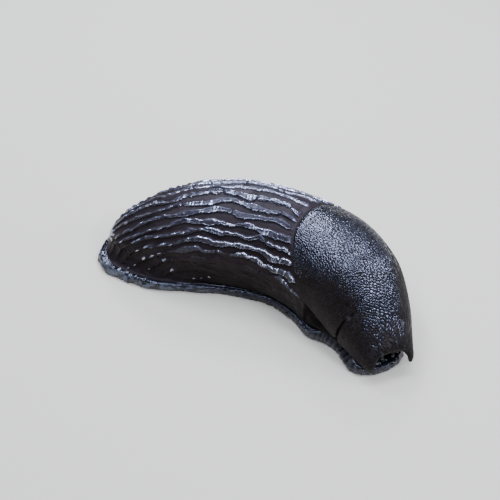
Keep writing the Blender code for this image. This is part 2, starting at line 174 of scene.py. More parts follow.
# How far in degrees all keels wander together, and each one in its long and short curls, then the
# angles from which they stand lower, behind and in front of the middle, and by what share
KEEL_WANDER = 1.6
KEEL_CURLS = (2.1, 0.6)
FAINT_FROM = (63.0, 76.0)
FAINTED = 0.66

# Each keel reads its own strip of the noise, this far from the next
OWN_NOISE = 7.31

# The tubercles: the station where the keels give way to them and over what length, their rows and
# sizes, the low swell that carries them, and the flat pebbles low on the tail
RANK_STATIONS = (0.36, 0.18)
TUBERCLE_ROWS = 10
TUBERCLE_PITCH = 2.4
TUBERCLE_HALF = (0.95, 0.42)
TUBERCLE_HEIGHT = 0.42
SWELL_HEIGHT = 0.62
PEBBLE = (2.0, 1.1)
PEBBLE_ANGLE = 0.13

# From what share of a keel its top is more than dull and from what share of painted highlight it is glossy,
# and the angles down to which highlights are painted and it is glossy, then satin; lower, where the light
# falls less, the skin gets the dull copy as painted shade
WET_FROM = 0.3
HIGHLIGHT_FROM = 0.14
HIGHLIGHT_TO = [(0.06, 20.0), (0.12, 50.0), (0.3, 64.0), (0.5, 69.0), (0.7, 80.0)]
SHEEN_TO = [(0.06, 46.0), (0.12, 66.0), (0.3, 78.0), (0.5, 72.0), (0.7, 84.0)]

# The groove between the flank and the fringe: how far outside the sole's edge, and how high
GROOVE_REACH = 0.35
GROOVE_LEVEL = 2.35

# The fine lines along the flanks and hollows, and the folds across them
LINE_HEIGHT = 0.05
FOLD_HEIGHT = 0.03

# The grain of the mantle: how high, how tilted, and how long and wide each granule is
GRAIN_HEIGHT = 0.10
GRAIN_TILT = 0.06
GRAIN_SIZE = (0.72, 0.48)

# Where the shaded part of the mantle starts, which gets the dull copy of its skin as painted shade:
# stations and angles from the crown
SHADE_FROM = [(0.6, 60.0), (0.74, 50.0), (0.80, 42.0), (0.86, 31.0), (0.90, 28.0), (0.95, 26.0), (1.0, 26.0)]

# The share of the body's round that the mantle covers, and the widths of its rounded rim at the sides,
# the rear and the front, as shares of its breadth and of its length
MANTLE_SPAN = 0.56
MANTLE_RIMS = (0.055, 0.03, 0.05)

# The body's rows of points: the last station of the close ones, then the wide ones' first and number
CLOSE_TO = 0.77
WIDE_FROM = 0.772
WIDE_ROWS = 60

# The front of the fringe is rolled inward and is higher
ROLL_INWARD = 1.3
ROLL_RISE = 0.42

# The tail's end: how far its lower skin runs out over the foot, how blunt it is in plan, 1 for a half
# circle and less for blunter, and the share of the full width below which its keels draw together
SKIRT = 0.010
TAIL_BLUNT = 0.45
TAIL_FULL = 0.91

# The ribs of the fringe
RIB_PITCH = 1.35
RIB_DEPTH = 0.3
STRIA_PITCH = 0.62

# The lengths of the fringe: where its tail's look ends and its front's look begins, and over what widths
FRINGE_TAIL = (0.24, 0.12)
FRINGE_FRONT = (0.72, 0.08)

# Distance between the points of the fine skin
BACK_STEP = 0.115
KEEL_STEP = 0.075
MANTLE_STEP = 0.12
FRINGE_STEP = 0.17

# The camera, from the photograph's view
VIEW_TARGET = (2.244, 4.264, 4.0)
VIEW_DISTANCE = 190.0
VIEW_ELEVATION = 46.0
VIEW_ANGLE = 38.0
IMAGE_SIZE = 500.0
VIEW_CENTRE = (255.0, 268.0)
VIEW_CLIP = (0.005, 10.0)

# The studio: lamps like gaps of bright sky, each with its bearing from +X, its height and its watts
LAMP_DISTANCE = 0.45
LAMP_SIZE = 0.11
LAMPS = [
    (94.0, 38.0, 1.5), (123.0, 50.0, 1.2), (152.0, 62.0, 1.0),
    (75.0, 74.0, 1.0), (32.0, 58.0, 0.8), (-32.0, 46.0, 1.2),
    (0.0, 30.0, 0.9), (-84.0, 62.0, 0.8), (-132.0, 58.0, 0.6),
]
LIT_POINT = (0.0, 0.0, 0.01)
OVERHEAD_PANEL = (0.90, 2.6, (0.06, 0.08, 0.42))
SKY_COLOUR = (0.68, 0.75, 1.0)
SKY_STRENGTH = 0.06
FLOOR_SIZE = 4.0
FLOOR_COLOUR = (0.545, 0.495, 0.375)

# The tints of reflections on wet and on dull skin, and how strongly the wettest skin reflects
WET_TINT = (0.84, 0.86, 1.0)
DULL_TINT = (1.0, 0.88, 0.86)
NO_TINT = (1.0, 1.0, 1.0)
WET_IOR = 2.0
EYE_COLOUR = (0.006, 0.006, 0.008)

# Where in the noise a skin's patches reach their low and their high value
PATCH_PLACES = (0.3, 0.7)


def smoothstep(t):
    t = np.clip(t, 0.0, 1.0)
    return t * t * (3.0 - 2.0 * t)


def rising(x, start, width):
    """0 up to a start, and 1 from a width after it on."""
    return smoothstep((x - start) / width)


def falling(x, end, width):
    """1 up to a width before an end, and 0 from the end on."""
    return smoothstep((end - x) / width)


def bell(x, width):
    return np.exp(-((x / width) ** 2))


def through(stations, x, column=1):
    """A smooth curve through the stations, with no overshoot between them."""
    knots = np.array([row[0] for row in stations], float)
    values = np.array([row[column] for row in stations], float)
    slopes = np.diff(values) / np.diff(knots)
    same_way = slopes[:-1] * slopes[1:] > 0.0
    sums = np.where(same_way, slopes[:-1] + slopes[1:], 1.0)
    tangents = np.zeros_like(values)
    tangents[1:-1] = np.where(same_way, 2.0 * slopes[:-1] * slopes[1:] / sums, 0.0)
    tangents[0] = slopes[0]
    tangents[-1] = slopes[-1]
    x = np.clip(np.asarray(x, float), knots[0], knots[-1])
    i = np.clip(np.searchsorted(knots, x, side="right") - 1, 0, len(knots) - 2)
    span = knots[i + 1] - knots[i]
    t = (x - knots[i]) / span
    start = (2.0 * t**3 - 3.0 * t**2 + 1.0) * values[i] + (t**3 - 2.0 * t**2 + t) * span * tangents[i]
    end = (3.0 * t**2 - 2.0 * t**3) * values[i + 1] + (t**3 - t**2) * span * tangents[i + 1]
    return start + end


def round_end(distance, radius):
    """0 at an end and 1 from radius on, as a quarter circle."""
    t = np.clip(distance / radius, 0.0, 1.0)
    return np.sqrt(1.0 - (1.0 - t) ** 2)


def half_width(s):
    return through(BODY, s) * WIDTH / 2.0


def plan_line():
    """Stations, x, y and heading along the middle of the body."""
    s = np.linspace(-0.05, 1.1, 1151)
    heading = np.radians(HEADING_TAIL - TURN * rising(s, TURN_FROM, TURN_TO - TURN_FROM))
    step = (s[1] - s[0]) * LENGTH
    x = np.concatenate([[0.0], np.cumsum((np.cos(heading[1:]) + np.cos(heading[:-1])) * step / 2.0)])
    y = np.concatenate([[0.0], np.cumsum((np.sin(heading[1:]) + np.sin(heading[:-1])) * step / 2.0)])
    x -= np.interp(0.0, s, x) + MIDDLE[0]
    y -= np.interp(0.0, s, y) + MIDDLE[1]
    return s, x, y, heading


LINE = plan_line()


def place(s, v, z):
    """The point at station s, v to the left of the middle line and z above the ground."""
    stations, xs, ys, headings = LINE
    heading = np.interp(s, stations, headings)
    x = np.interp(s, stations, xs) - v * np.sin(heading)
    y = np.interp(s, stations, ys) + v * np.cos(heading)
    return np.stack([x, y, z + 0.0 * x], -1)


def foot_edge(s, side):
    """Distance of the sole's edge to the left of the middle line, on the left side, 1, or the right, -1."""
    ends = round_end(s - FOOT_START, FOOT_ROUND_TAIL) * round_end(FOOT_END - s, FOOT_ROUND_FRONT)
    return through(FOOT, s, 2) + side * through(FOOT, s) * ends


def section(s, degrees, inset, size):
    """Distance from the middle line and height of the skin, drawn in by inset, at a share of its size."""
    turn = np.abs(degrees)
    side = np.sign(degrees)
    waist = through(WAIST, s)
    half = np.maximum(half_width(s) - inset, 0.05)
    rise = through(BODY, s, 2) * HEIGHT - inset - waist
    groove = np.maximum(side * foot_edge(s, side) + GROOVE_REACH, 0.04)
    groove_drop = waist - GROOVE_LEVEL
    base_drop = waist - SOLE_THICKNESS - GAP
    upper_v = half * np.sin(np.radians(np.minimum(turn, 90.0))) ** 0.95
    upper_z = rise * np.cos(np.radians(np.minimum(turn, 90.0))) ** 0.92
    under = np.radians(90.0) * np.clip((turn - 90.0) / (GROOVE_ANGLE - 90.0), 0.0, 1.0)
    down = np.clip((turn - GROOVE_ANGLE) / (WALL_ANGLE - GROOVE_ANGLE), 0.0, 1.0)
    across = np.clip((180.0 - turn) / (180.0 - WALL_ANGLE), 0.0, 1.0)
    lower_v = (half + (groove - half) * (1.0 - np.cos(under))) * across
    lower_z = -groove_drop * np.sin(under) + (groove_drop - base_drop) * down
    v = np.where(turn <= 90.0, upper_v, lower_v)
    z = np.where(turn <= 90.0, upper_z, lower_z)
    return side * v * size, waist + z * size


def rear_margin(degrees):
    return through(MANTLE_REAR, np.abs(degrees))


def mantle_edge(s, degrees):
    return np.where(degrees >= 0.0, through(EDGE_LEFT, s), through(NOTCH, s))


def mantle_thickness(s):
    return MANTLE_THICK + (HOOD_THICK - MANTLE_THICK) * rising(s, 0.90, 0.08)


def drift(x, y, seed):
    """Smooth noise from -1 to 1 that changes over about one unit."""
    table = np.random.default_rng(seed).uniform(-1.0, 1.0, (256, 256))
    i = np.floor(x).astype(int)
    j = np.floor(y).astype(int)
    u = smoothstep(x - i)
    v = smoothstep(y - j)
    near = table[i % 256, j % 256] * (1.0 - u) + table[(i + 1) % 256, j % 256] * u
    far = table[i % 256, (j + 1) % 256] * (1.0 - u) + table[(i + 1) % 256, (j + 1) % 256] * u
    return near * (1.0 - v) + far * v


def cells(x, y, seed, scatter=0.8):
    """Scattered points, one a unit square: distances to the nearest two, and a draw and a tilt for each."""
    points = np.random.default_rng(seed).uniform(0.0, 1.0, (256, 256, 5))
    i = np.floor(x).astype(int)
    j = np.floor(y).astype(int)
    nearest, second = (np.full(np.shape(x), 9.0) for _ in range(2))
    draw, tilt = (np.zeros(np.shape(x)) for _ in range(2))
    for di in (-1, 0, 1):
        for dj in (-1, 0, 1):
            point = points[(i + di) % 256, (j + dj) % 256]
            away_x = i + di + 0.5 + scatter * (point[..., 0] - 0.5) - x
            away_y = j + dj + 0.5 + scatter * (point[..., 1] - 0.5) - y
            away = np.hypot(away_x, away_y)
            closer = away < nearest
            second = np.where(closer, nearest, np.minimum(second, away))
            draw = np.where(closer, point[..., 2], draw)
            slope = (point[..., 3] - 0.5) * away_x + (point[..., 4] - 0.5) * away_y
            tilt = np.where(closer, 2.0 * slope, tilt)
            nearest = np.where(closer, away, nearest)
    return nearest, second, draw, tilt


def evenly(first, last, step, reach):
    """Stations from first to last, a step apart along a skin whose distance from the middle is reach(s)."""
    fine = np.linspace(first, last, 4000)
    run = np.concatenate([[0.0], np.cumsum(np.hypot(np.diff(fine) * LENGTH, np.diff(reach(fine))))])
    return np.interp(np.linspace(0.0, run[-1], int(run[-1] / step) + 1), run, fine)


KEEL_DRAWS = np.random.default_rng(KEEL_SEED).random((2 * KEELS_A_SIDE + 1, 3))


def own_draws(keel):
    """Where along its own run each keel starts its rhythm and its sway, as in the solids."""
    return KEEL_DRAWS[np.clip(keel, -KEELS_A_SIDE, KEELS_A_SIDE) + KEELS_A_SIDE]


def keel_line(s, keel):
    """Angle of a keel's middle line, and how fully the keel stands there."""
    own = own_draws(keel)
    along = s * LENGTH / KEEL_LENGTH
    sway = KEEL_SWAY * np.sin(2.0 * np.pi * (along / (1.6 + 0.8 * own[..., 2]) + own[..., 1]))
    beads = 0.35 + 0.65 * np.abs(np.sin(np.pi * (along + own[..., 0]))) ** 0.6
    return keel * KEEL_PITCH + sway, beads


def run_from_tail(s):
    """Distance along the skin: the station's own, but longer round the end of the tail."""
    fine = np.linspace(TAIL_TIP, 0.2, 3000)
    run = np.cumsum(np.hypot(np.gradient(fine) * LENGTH, np.gradient(tail_reach(fine))))
    return np.where(s > 0.2, s * LENGTH, np.interp(s, fine, run - run[-1] + 0.2 * LENGTH))


def tail_reach(s):
    return half_width(s) * round_end(s - TAIL_TIP, TAIL_ROUND) ** TAIL_BLUNT


def keel_rank(s, degrees):
    """0 where the keels stand whole and 1 where, towards the tail, they sink into rows of tubercles."""
    wander = 0.06 * drift(s * LENGTH / 6.0, degrees / 16.0, 23)
    return smoothstep((RANK_STATIONS[0] - s + wander) / RANK_STATIONS[1])


def tubercles(along, down, keel, number):
    """Small oval bumps along a keel, the lumps that carry them, and their upper sides, painted as glints."""
    draws = np.random.default_rng(number).random((64, 64, 4))
    at = along / TUBERCLE_PITCH + 0.618 * keel
    first = np.floor(at).astype(int)
    spots, lumps, glints = (np.zeros(np.shape(along)) for _ in range(3))
    for step in (-1, 0, 1):
        own = draws[(first + step) % 64, keel % 64]
        ahead = (at - first - step - 0.3 - 0.4 * own[..., 0]) * TUBERCLE_PITCH
        aside = down - 1.1 * (own[..., 1] - 0.4) + 0.25 * ahead * (own[..., 0] - 0.5)
        long = TUBERCLE_HALF[0] * (0.7 + 0.6 * own[..., 2])
        wide = TUBERCLE_HALF[1] * (0.8 + 0.5 * own[..., 2])
        spot = smoothstep(1.25 * (1.0 - np.hypot(ahead / long, aside / wide))) * (own[..., 3] > 0.15)
        spots = np.maximum(spots, spot * (0.6 + 0.4 * own[..., 1]))
        glints = np.maximum(glints, spot * smoothstep(0.6 - aside / wide) * (0.5 + 0.5 * own[..., 2]))
        lump = smoothstep(1.3 * (1.0 - np.hypot((ahead - 0.5) / (2.0 * long), (aside - 0.1) / (2.6 * wide))))
        lumps = np.maximum(lumps, lump)
    return spots, lumps, glints


def keel_section(along, own, down, taper):
    """A keel across its line: its share, the height of its top, and the distances inside its two edges."""
    wide = (1.0 + 0.38 * drift(along / 3.4, own, 26)) * (0.1 + 0.9 * taper)
    scallop = np.abs(np.sin(np.pi * (along / SCALLOP_PITCH + 1.2 * drift(along / 2.6, own, 24)))) ** 0.7
    ragged = smoothstep(0.6 + drift(along / 5.0, own, 44))
    scallops = SCALLOP_DEPTH * ragged * (scallop - 0.6) + 0.16 * drift(along / 0.7, own, 25)
    lower = KEEL_LOWER * wide + taper * scallops
    upper = KEEL_UPPER * wide + 0.20 * taper * drift(along / 1.1, own, 27)
    band = smoothstep((upper + down) / UPPER_SIDE) * smoothstep((lower - down) / LOWER_SIDE)
    top = KEEL_TOP - KEEL_FALL * np.clip((down + upper) / (upper + lower + 0.01), 0.0, 1.0)
    top = top + 0.07 * drift(along / 0.9, down / 0.8 + own, 47)
    return band, top, down + upper, lower - down


def keel_flutes(s, turn, along, own):
    """How strongly short flutes cut a keel's slope, and the height of each flute."""
    low_strokes = rising(turn, 48.0, 8.0) * rising(s, 0.36, 0.06)
    high_strokes = falling(turn, 45.0, 20.0)
    fluted = smoothstep(-0.1 + 1.9 * drift(along / 3.6, own, 28) + 0.5 * high_strokes + 0.7 * low_strokes)
    flute = 0.5 + 0.5 * np.sin(2.0 * np.pi * (along / FLUTE_PITCH + 1.3 * drift(along / 1.9, own, 29)))
    return fluted, flute * smoothstep(0.8 + drift(along / 1.1, own, 46))


def keel_highlight(along, own, down, rims, flutes):
    """A keel's painted bluish highlight: soft on the upper rim, dotted on the lower, and on its flutes."""
    soft = rims[0] * (0.40 + 0.26 * drift(along / 2.2, own, 30))
    crisp = rims[1] * (0.60 + 0.8 * drift(along / 0.75, own, 31))
    fluted, flute = flutes
    return np.clip(soft + crisp + 0.9 * fluted * flute**2 * rising(down, -1.0, 0.4), 0.0, 1.0)


def pebbles(s, degrees, along):
    """1 low on the flanks of the tail, and the flat pebbles of the skin there."""
    near, _, draw, _ = cells(along / PEBBLE[0], degrees * PEBBLE_ANGLE / PEBBLE[1], 38, 0.6)
    tail = falling(s, 0.38, 0.12) * rising(np.abs(degrees), 76.0, 8.0)
    return tail, tail * smoothstep(1.5 * (1.0 - near / 0.44)) * (draw < 0.7)


def tail_highlight(s, degrees, along):
    """A painted highlight in a strip that runs up the wet end of the tail."""
    patchy = smoothstep(0.7 + 1.2 * drift(along / 1.2, degrees / 9.0, 39))
    strip = falling(s, TAIL_TIP + 0.030, 0.012) * patchy
    return 0.6 * strip * falling(np.abs(degrees + 40.0) * 2.0, 86.0, 30.0)


def keels(s, degrees):
    """How far the back's keels stand out, and masks of their tops, painted highlights and painted shadow.

    A keel is a rounded ridge, highest near its upper edge, that drops steeply at its lower edge, which is
    scalloped. Towards the tail it sinks into a low swell that carries a row of separate tubercles.
    Highlights are painted along its rims and flutes and on its tubercles, and a shadow just below it.
    """
    along = run_from_tail(s)
    turn = np.abs(degrees)
    side = np.where(degrees >= 0.0, 1.0, -1.0)
    shrink = np.minimum(through(BODY, s) * round_end(s - TAIL_TIP, TAIL_ROUND) / TAIL_FULL, 1.0)
    metric = np.radians(1.0) * (np.maximum(through(BODY, s), TAIL_FULL) * WIDTH / 2.0 + 1.0) * shrink**0.15
    rank = keel_rank(s, degrees)
    bent = degrees * shrink**0.85 + KEEL_WANDER * drift(along / 7.0, degrees / 30.0, 21)
    first = np.clip(np.round(bent / KEEL_PITCH).astype(int), -TUBERCLE_ROWS, TUBERCLE_ROWS)
    height, crest, painted_highlight, spots, glints, shade = (np.zeros(np.shape(s)) for _ in range(6))
    for step in (-1, 0, 1):
        keel = np.clip(first + step, -TUBERCLE_ROWS, TUBERCLE_ROWS)
        own = keel * OWN_NOISE
        line, beads = keel_line(s, keel)
        curl = KEEL_CURLS[0] * drift(along / 3.3, own, 33) + KEEL_CURLS[1] * drift(along / 1.4, own, 34)
        curl = (1.0 - 0.7 * rank) * curl
        down = side * (bent - line - curl) * metric
        gap = np.floor(along / KEEL_LENGTH + own_draws(keel)[..., 0] + 0.5)
        whole = 0.5 + 0.5 * np.sign(drift(gap + 0.01, own, 40))
        taper = np.maximum(rising(beads, 0.36, 0.34), 0.85 * whole) ** 0.5
        band, top, from_upper, to_lower = keel_section(along, own, down, taper)
        fluted, flute = keel_flutes(s, turn, along, own)
        between = (1.0 - flute) * rising(down, -0.9, 0.4) * falling(down, 0.5, 0.3)
        cut = fluted * (0.04 + FLUTE_DEPTH * between)
        rims = bell(from_upper - UPPER_RIM[0], UPPER_RIM[1]), bell(to_lower - LOWER_RIM[0], LOWER_RIM[1])
        stand = smoothstep(1.4 * taper) * (1.0 - rank) * (np.abs(keel) <= KEELS_A_SIDE)
        spot, lump, glint = tubercles(along, down, keel, 36)
        swell = rank * rising(down, -1.15, 1.2) * falling(down, 0.75, 0.4) * (0.55 + 0.45 * lump)
        rise = np.maximum(band * (top - cut + LIP_HEIGHT * rims[1]) * stand, SWELL_HEIGHT * swell)
        # Just below a keel's lower edge a furrow is cut and a shadow is painted
        below = bell(to_lower + 0.15, 0.3) * (stand + 0.6 * rank)
        under = UNDERCUT * (1.0 - rank) * below
        glow = keel_highlight(along, own, down, rims, (fluted, flute)) * band * stand
        # A highlight is painted on the upper slopes of the tail's swells
        swell_highlight = 0.22 * bell(down + 0.35, 0.30) * rank * smoothstep(0.7 + drift(along / 3.0, own, 32))
        share = np.maximum(np.abs(keel) > KEELS_A_SIDE, rank) * falling(s, 0.42, 0.1)
        share = np.maximum(share, 0.2 * rising(turn, 60.0, 12.0))
        spots = np.maximum(spots, spot * share)
        glints = np.maximum(glints, glint * share)
        crest = np.where(rise > height, np.maximum(band * stand, 0.6 * swell), crest)
        painted_highlight = np.where(rise > height, np.maximum(glow, swell_highlight) * rising(rise, 0.15, 0.2), painted_highlight)
        shade = np.maximum(shade, below)
        height = np.maximum(height, rise - under * (height < 0.05))
    tail, pebble = pebbles(s, degrees, along)
    spots = np.maximum(spots * (1.0 - tail), 0.8 * pebble)
    grit = KEEL_GRIT * crest * drift(along / 0.5, degrees * metric / 0.4, 37)
    faint_from = FAINT_FROM[0] + (FAINT_FROM[1] - FAINT_FROM[0]) * rising(s, 0.40, 0.12)
    faint = 1.0 - FAINTED * rising(turn, faint_from, 10.0) * rising(s, 0.30, 0.12)
    shut = rising(s, TAIL_TIP, 0.012) * smoothstep((rear_margin(degrees) - s) * LENGTH / 1.3 - 0.15)
    shut = shut * falling(turn, GROOVE_ANGLE - 3.0, 5.0)
    lift = (KEEL_HEIGHT * height * faint + TUBERCLE_HEIGHT * spots + grit) * shut
    crest = np.clip(np.maximum(crest * rising(faint, 0.45, 0.35), spots), 0.0, 1.0) * shut
    # Painted highlights stop below the given angles, and the tubercles' upper sides get painted glints
    inside = 1.0 - smoothstep((turn - through(HIGHLIGHT_TO, s)) / 8.0 + 0.5)
    painted_highlight = np.maximum(painted_highlight * faint * inside, 0.9 * rising(glints, 0.35, 0.35)) * shut
    # A painted highlight in a strip up the tail's end
    strip = tail_highlight(s, degrees, along)
    painted_highlight = np.clip(np.maximum(painted_highlight, 0.8 * strip), 0.0, 1.0)
    return lift, np.maximum(crest, strip), painted_highlight, shade * shut * faint


def striae(s, degrees):
    """Fine lengthwise wrinkles of flanks and hollows, lumps behind the pore, and a share on each line."""
    along = s * LENGTH
    lines = drift(along / 5.0, degrees / 1.9, 41)
    folds = drift(along / 1.1, degrees / 16.0, 42)
    lumps = drift(along / 2.1, degrees / 8.0, 43)
    low = rising(np.abs(degrees), 74.0, 14.0)
    front = rising(s, 0.66, 0.1)
    height = LINE_HEIGHT * lines * (0.4 + 1.2 * low) + FOLD_HEIGHT * folds
    return height + low * (0.06 + 0.34 * front) * lumps, low * smoothstep(lines)


def granules(s, degrees):
    """Height of the mantle's grain, a share that is 1 on top of each granule, and a draw for each."""
    metric = np.radians(1.0) * (half_width(s) + 1.5)
    along = s * LENGTH
    across = degrees * metric
    turn = 1.35 + 0.35 * drift(along / 9.0, across / 9.0, 51) - 0.4 * rising(s, 0.925, 0.05)
    ahead = along - 0.8 * LENGTH
    x = ahead * np.cos(turn) + across * np.sin(turn) + 0.15 * drift(along / 0.9, across / 0.9, 52)
    y = across * np.cos(turn) - ahead * np.sin(turn) + 0.15 * drift(along / 0.9, across / 0.9, 53)
    long = 1.0 + 0.35 * rising(s, 0.80, 0.12)
    near, second, draw, tilt = cells(x / GRAIN_SIZE[0] / long, y / GRAIN_SIZE[1], 54, 0.85)
    plate = smoothstep((second - near - 0.05) / 0.30)
    dome = plate * (1.0 - 0.45 * np.minimum(near, 1.0) ** 2) * (0.7 + 0.3 * draw)
    return GRAIN_HEIGHT * dome + GRAIN_TILT * tilt * plate, plate, draw


def pore_form(s, degrees):
    """How far the mantle dips at the breathing pore, with its slit and the crease that climbs from it."""
    half = half_width(s)
    ahead = (s - PORE[0]) * LENGTH
    above = np.radians(degrees - PORE[1]) * half
    hollow = PORE_DIP * bell(np.hypot(ahead, above), 2.6)
    mouth = PORE_DEPTH * np.exp(-((ahead / 0.45) ** 2 + (above / PORE_RADIUS) ** 2))
    crease_line = ahead + 0.25 * above
    crease = PORE_CREASE * bell(crease_line, 0.4) * smoothstep(above / 1.2) * falling(above, 6.5, 4.0)
    lip = -PORE_LIP * np.exp(-(((ahead - 1.1) / 0.5) ** 2 + ((above - 0.4) / 1.5) ** 2))
    return hollow + mouth + crease + lip


def row_quads(index):
    """The four corners of each patch of a lattice of point numbers."""
    return np.stack([index[:-1, :-1], index[:-1, 1:], index[1:, 1:], index[1:, :-1]], -1).reshape(-1, 4)


def face_means(values):
    """The mean of each patch's four corners, in the order of its patches."""
    return ((values[:-1, :-1] + values[1:, :-1] + values[:-1, 1:] + values[1:, 1:]) / 4.0).ravel()


def patch(index, box, look):
    """The faces of a lattice of point numbers: corners, places in a box of the unwrap, and finishes."""
    left, low, right, high = box
    across = np.linspace(left, right, index.shape[1])
    up = np.linspace(low, high, index.shape[0])
    uv = np.stack(np.meshgrid(across, up), -1).reshape(-1, 2)
    corners = row_quads(index)
    own = row_quads(np.arange(index.size).reshape(index.shape))
    return corners, uv[own], np.broadcast_to(look, len(corners))


def cut_up(points, patches):
    """The triangles of patches, cut along the shorter diagonals, without sides that have no length."""
    corners, places, materials = (np.concatenate(part) for part in zip(*patches))
    a, b, c, d = (points[corners[:, k]] for k in range(4))
    other_way = np.linalg.norm(b - d, axis=1) < np.linalg.norm(a - c, axis=1)
    first = np.where(other_way[:, None], [0, 1, 3], [0, 1, 2])
    second = np.where(other_way[:, None], [1, 2, 3], [0, 2, 3])
    picks = np.concatenate([first, second])
    rows = np.concatenate([np.arange(len(corners))] * 2)[:, None]
    corners = corners[rows, picks]
    apart = (corners != np.roll(corners, 1, 1)).all(1)
    return corners[apart], places[rows, picks][apart], materials[rows[:, 0]][apart]


def in_scene(name, data):
    made = bpy.data.objects.new(name, data)
    bpy.context.scene.collection.objects.link(made)
    return made


def closed_surface(name, looks, lattices, patches):
    """An object of patches between lattices, each its points and their crest, shade and highlight masks."""
    points = np.concatenate([points.reshape(-1, 3) for points, *_ in lattices]) * MM
    corners, places, materials = cut_up(points, patches)
    a, b, c = (points[corners[:, k]] for k in range(3))
    if np.einsum("ij,ij->i", a, np.cross(b, c)).sum() < 0.0:
        corners = corners[:, ::-1]
        places = places[:, ::-1]
    mesh = bpy.data.meshes.new(name)
    mesh.vertices.add(len(points))
    mesh.vertices.foreach_set("co", points.astype(np.float32).ravel())
    mesh.loops.add(corners.size)
    mesh.loops.foreach_set("vertex_index", corners.astype(np.int32).ravel())
    mesh.polygons.add(len(corners))
    mesh.polygons.foreach_set("loop_start", np.arange(0, corners.size, 3, dtype=np.int32))
    mesh.polygons.foreach_set("material_index", materials.astype(np.int32))
    mesh.update(calc_edges=True)
    mesh.uv_layers.new(name="OFBake").data.foreach_set("uv", places.astype(np.float32).ravel())
    for k, mask in enumerate(("crest", "shade_and_black", "painted_highlight")):
        values = [np.broadcast_to(masks[k], points.shape[:-1]).ravel() for points, *masks in lattices]
        values = np.concatenate(values).astype(np.float32)
        mesh.attributes.new(mask, "FLOAT", "POINT").data.foreach_set("value", values)
    mesh.shade_smooth()
    for look in looks:
        mesh.materials.append(look)
    return in_scene(name, mesh)


def closed_round(index):
    """A lattice of point numbers with its first column repeated after its last."""
    return np.concatenate([index, index[:, :1]], 1)


def border(index):
    """The point numbers round the four sides of a lattice."""
    return np.concatenate([index[0], index[1:, -1], index[-1, -2::-1], index[-2::-1, 0]])


def zipped(ring):
    """A lattice of two rows that closes a ring of point numbers by joining its two halves."""
    half = len(ring) // 2
    return np.stack([ring[: half + 1], ring[(-np.arange(half + 1)) % len(ring)]])


def tube(name, looks, lattice, unwrap, look, end_look):
    """An object of a lattice that closes on itself, with both its ends zipped shut."""
    shape = lattice[0].shape[:-1]
    index = np.arange(np.prod(shape)).reshape(shape)
    box, *ends = unwrap
    patches = [patch(closed_round(index), box, look)]
    for ring, (low, high) in zip((zipped(index[0])[::-1], zipped(index[-1])), ends):
        patches.append(patch(ring, (box[0], low, box[2], high), end_look))
    return closed_surface(name, looks, [lattice], patches)


def body_angles():
    """Angles round the body, close together on the back and wider apart below."""
    back = np.degrees(KEEL_STEP / (WIDTH / 2.0))
    upper = np.linspace(0.0, 86.0, int(86.0 / back) + 1)
    flank = np.linspace(86.0, GROOVE_ANGLE, 44)[1:]
    under = np.array([124.0, 128.0, WALL_ANGLE, 142.0, 156.0, 170.0])
    side = np.concatenate([upper[1:], flank, under])
    return np.concatenate([[-180.0], -side[::-1], [0.0], side])


def body_inset(s, degrees):
    """How far the body lies inside the form's outline where the mantle covers it."""
    edge = mantle_edge(s, degrees)
    turn = np.abs(degrees)
    hidden = mantle_thickness(s) - MANTLE_RISE + GAP
    inside = 0.42 * mantle_thickness(s)
    covered = inside + (hidden - inside) * smoothstep((turn - edge + 13.0) / 9.0)
    flank = smoothstep((turn - edge - 4.0) / 14.0)
    share = smoothstep((s - rear_margin(np.minimum(turn, EDGE_PLAIN))) * LENGTH / 0.9)
    return share * (covered + (FLANK_INSET - covered) * flank)


def body(looks):
    """The back, the flanks and the neck, one closed surface from the tail to inside the hood."""
    angles = body_angles()
    tip = TAIL_TIP + 0.00002
    close = evenly(tip, CLOSE_TO, BACK_STEP, tail_reach)
    wide = SHOULDER_END - (SHOULDER_END - WIDE_FROM) * np.linspace(1.0, 0.0, WIDE_ROWS) ** 1.3
    s = np.concatenate([close, wide])[:, None] + 0.0 * angles
    degrees = angles + 0.0 * s
    lift, crest, painted_highlight, shade = keels(s, degrees)
    wrinkles, lines = striae(s, degrees)
    turn = np.abs(degrees)
    calm = rising(s, TAIL_TIP, 0.02) * falling(turn, GROOVE_ANGLE - 2.0, 6.0)
    inset = body_inset(s, degrees) - (lift + wrinkles) * calm
    neck = 1.0 - (1.0 - NECK_SHARE) * (1.0 - round_end(SHOULDER_END - s, SHOULDER_ROUND))
    low = rising(turn, 86.0, 28.0)
    dome = round_end(s - TAIL_TIP, TAIL_ROUND)
    at_tail = falling(s, 0.34, 0.1)
    s = s - SKIRT * low * falling(s, 0.15, 0.09)
    v, z = section(s, degrees, inset, neck)
    v = v * dome ** (1.0 + (TAIL_BLUNT - 1.0) * low)
    waist = through(WAIST, s)
    z = waist + (z - waist) * np.where(turn < 90.0, dome, 1.0)
    # Painted shade: darker down the flanks, less so at the tail, and just below each keel
    shade_and_black = rising(turn, 80.0, 20.0) * (1.0 - 0.8 * at_tail)
    shade_and_black = np.maximum(shade_and_black, 0.8 * shade)
    # Glossy and satin copies of the keel skin keep to the lit upper angles; lower down the dull copy is
    # painted shade
    damp = face_means(closed_round(crest)) > WET_FROM
    glossy = face_means(closed_round(painted_highlight)) > HIGHLIGHT_FROM
    inside = face_means(closed_round(turn - through(SHEEN_TO, s))) < 0.0
    finish = np.where(damp & glossy, KEEL, np.where(damp & inside, DAMP, HOLLOW))
    lattice = (place(s, v, z), np.maximum(crest, lines), shade_and_black, painted_highlight)
    return tube("slug_skin", looks, lattice, BODY_UNWRAP, finish, HOLLOW)


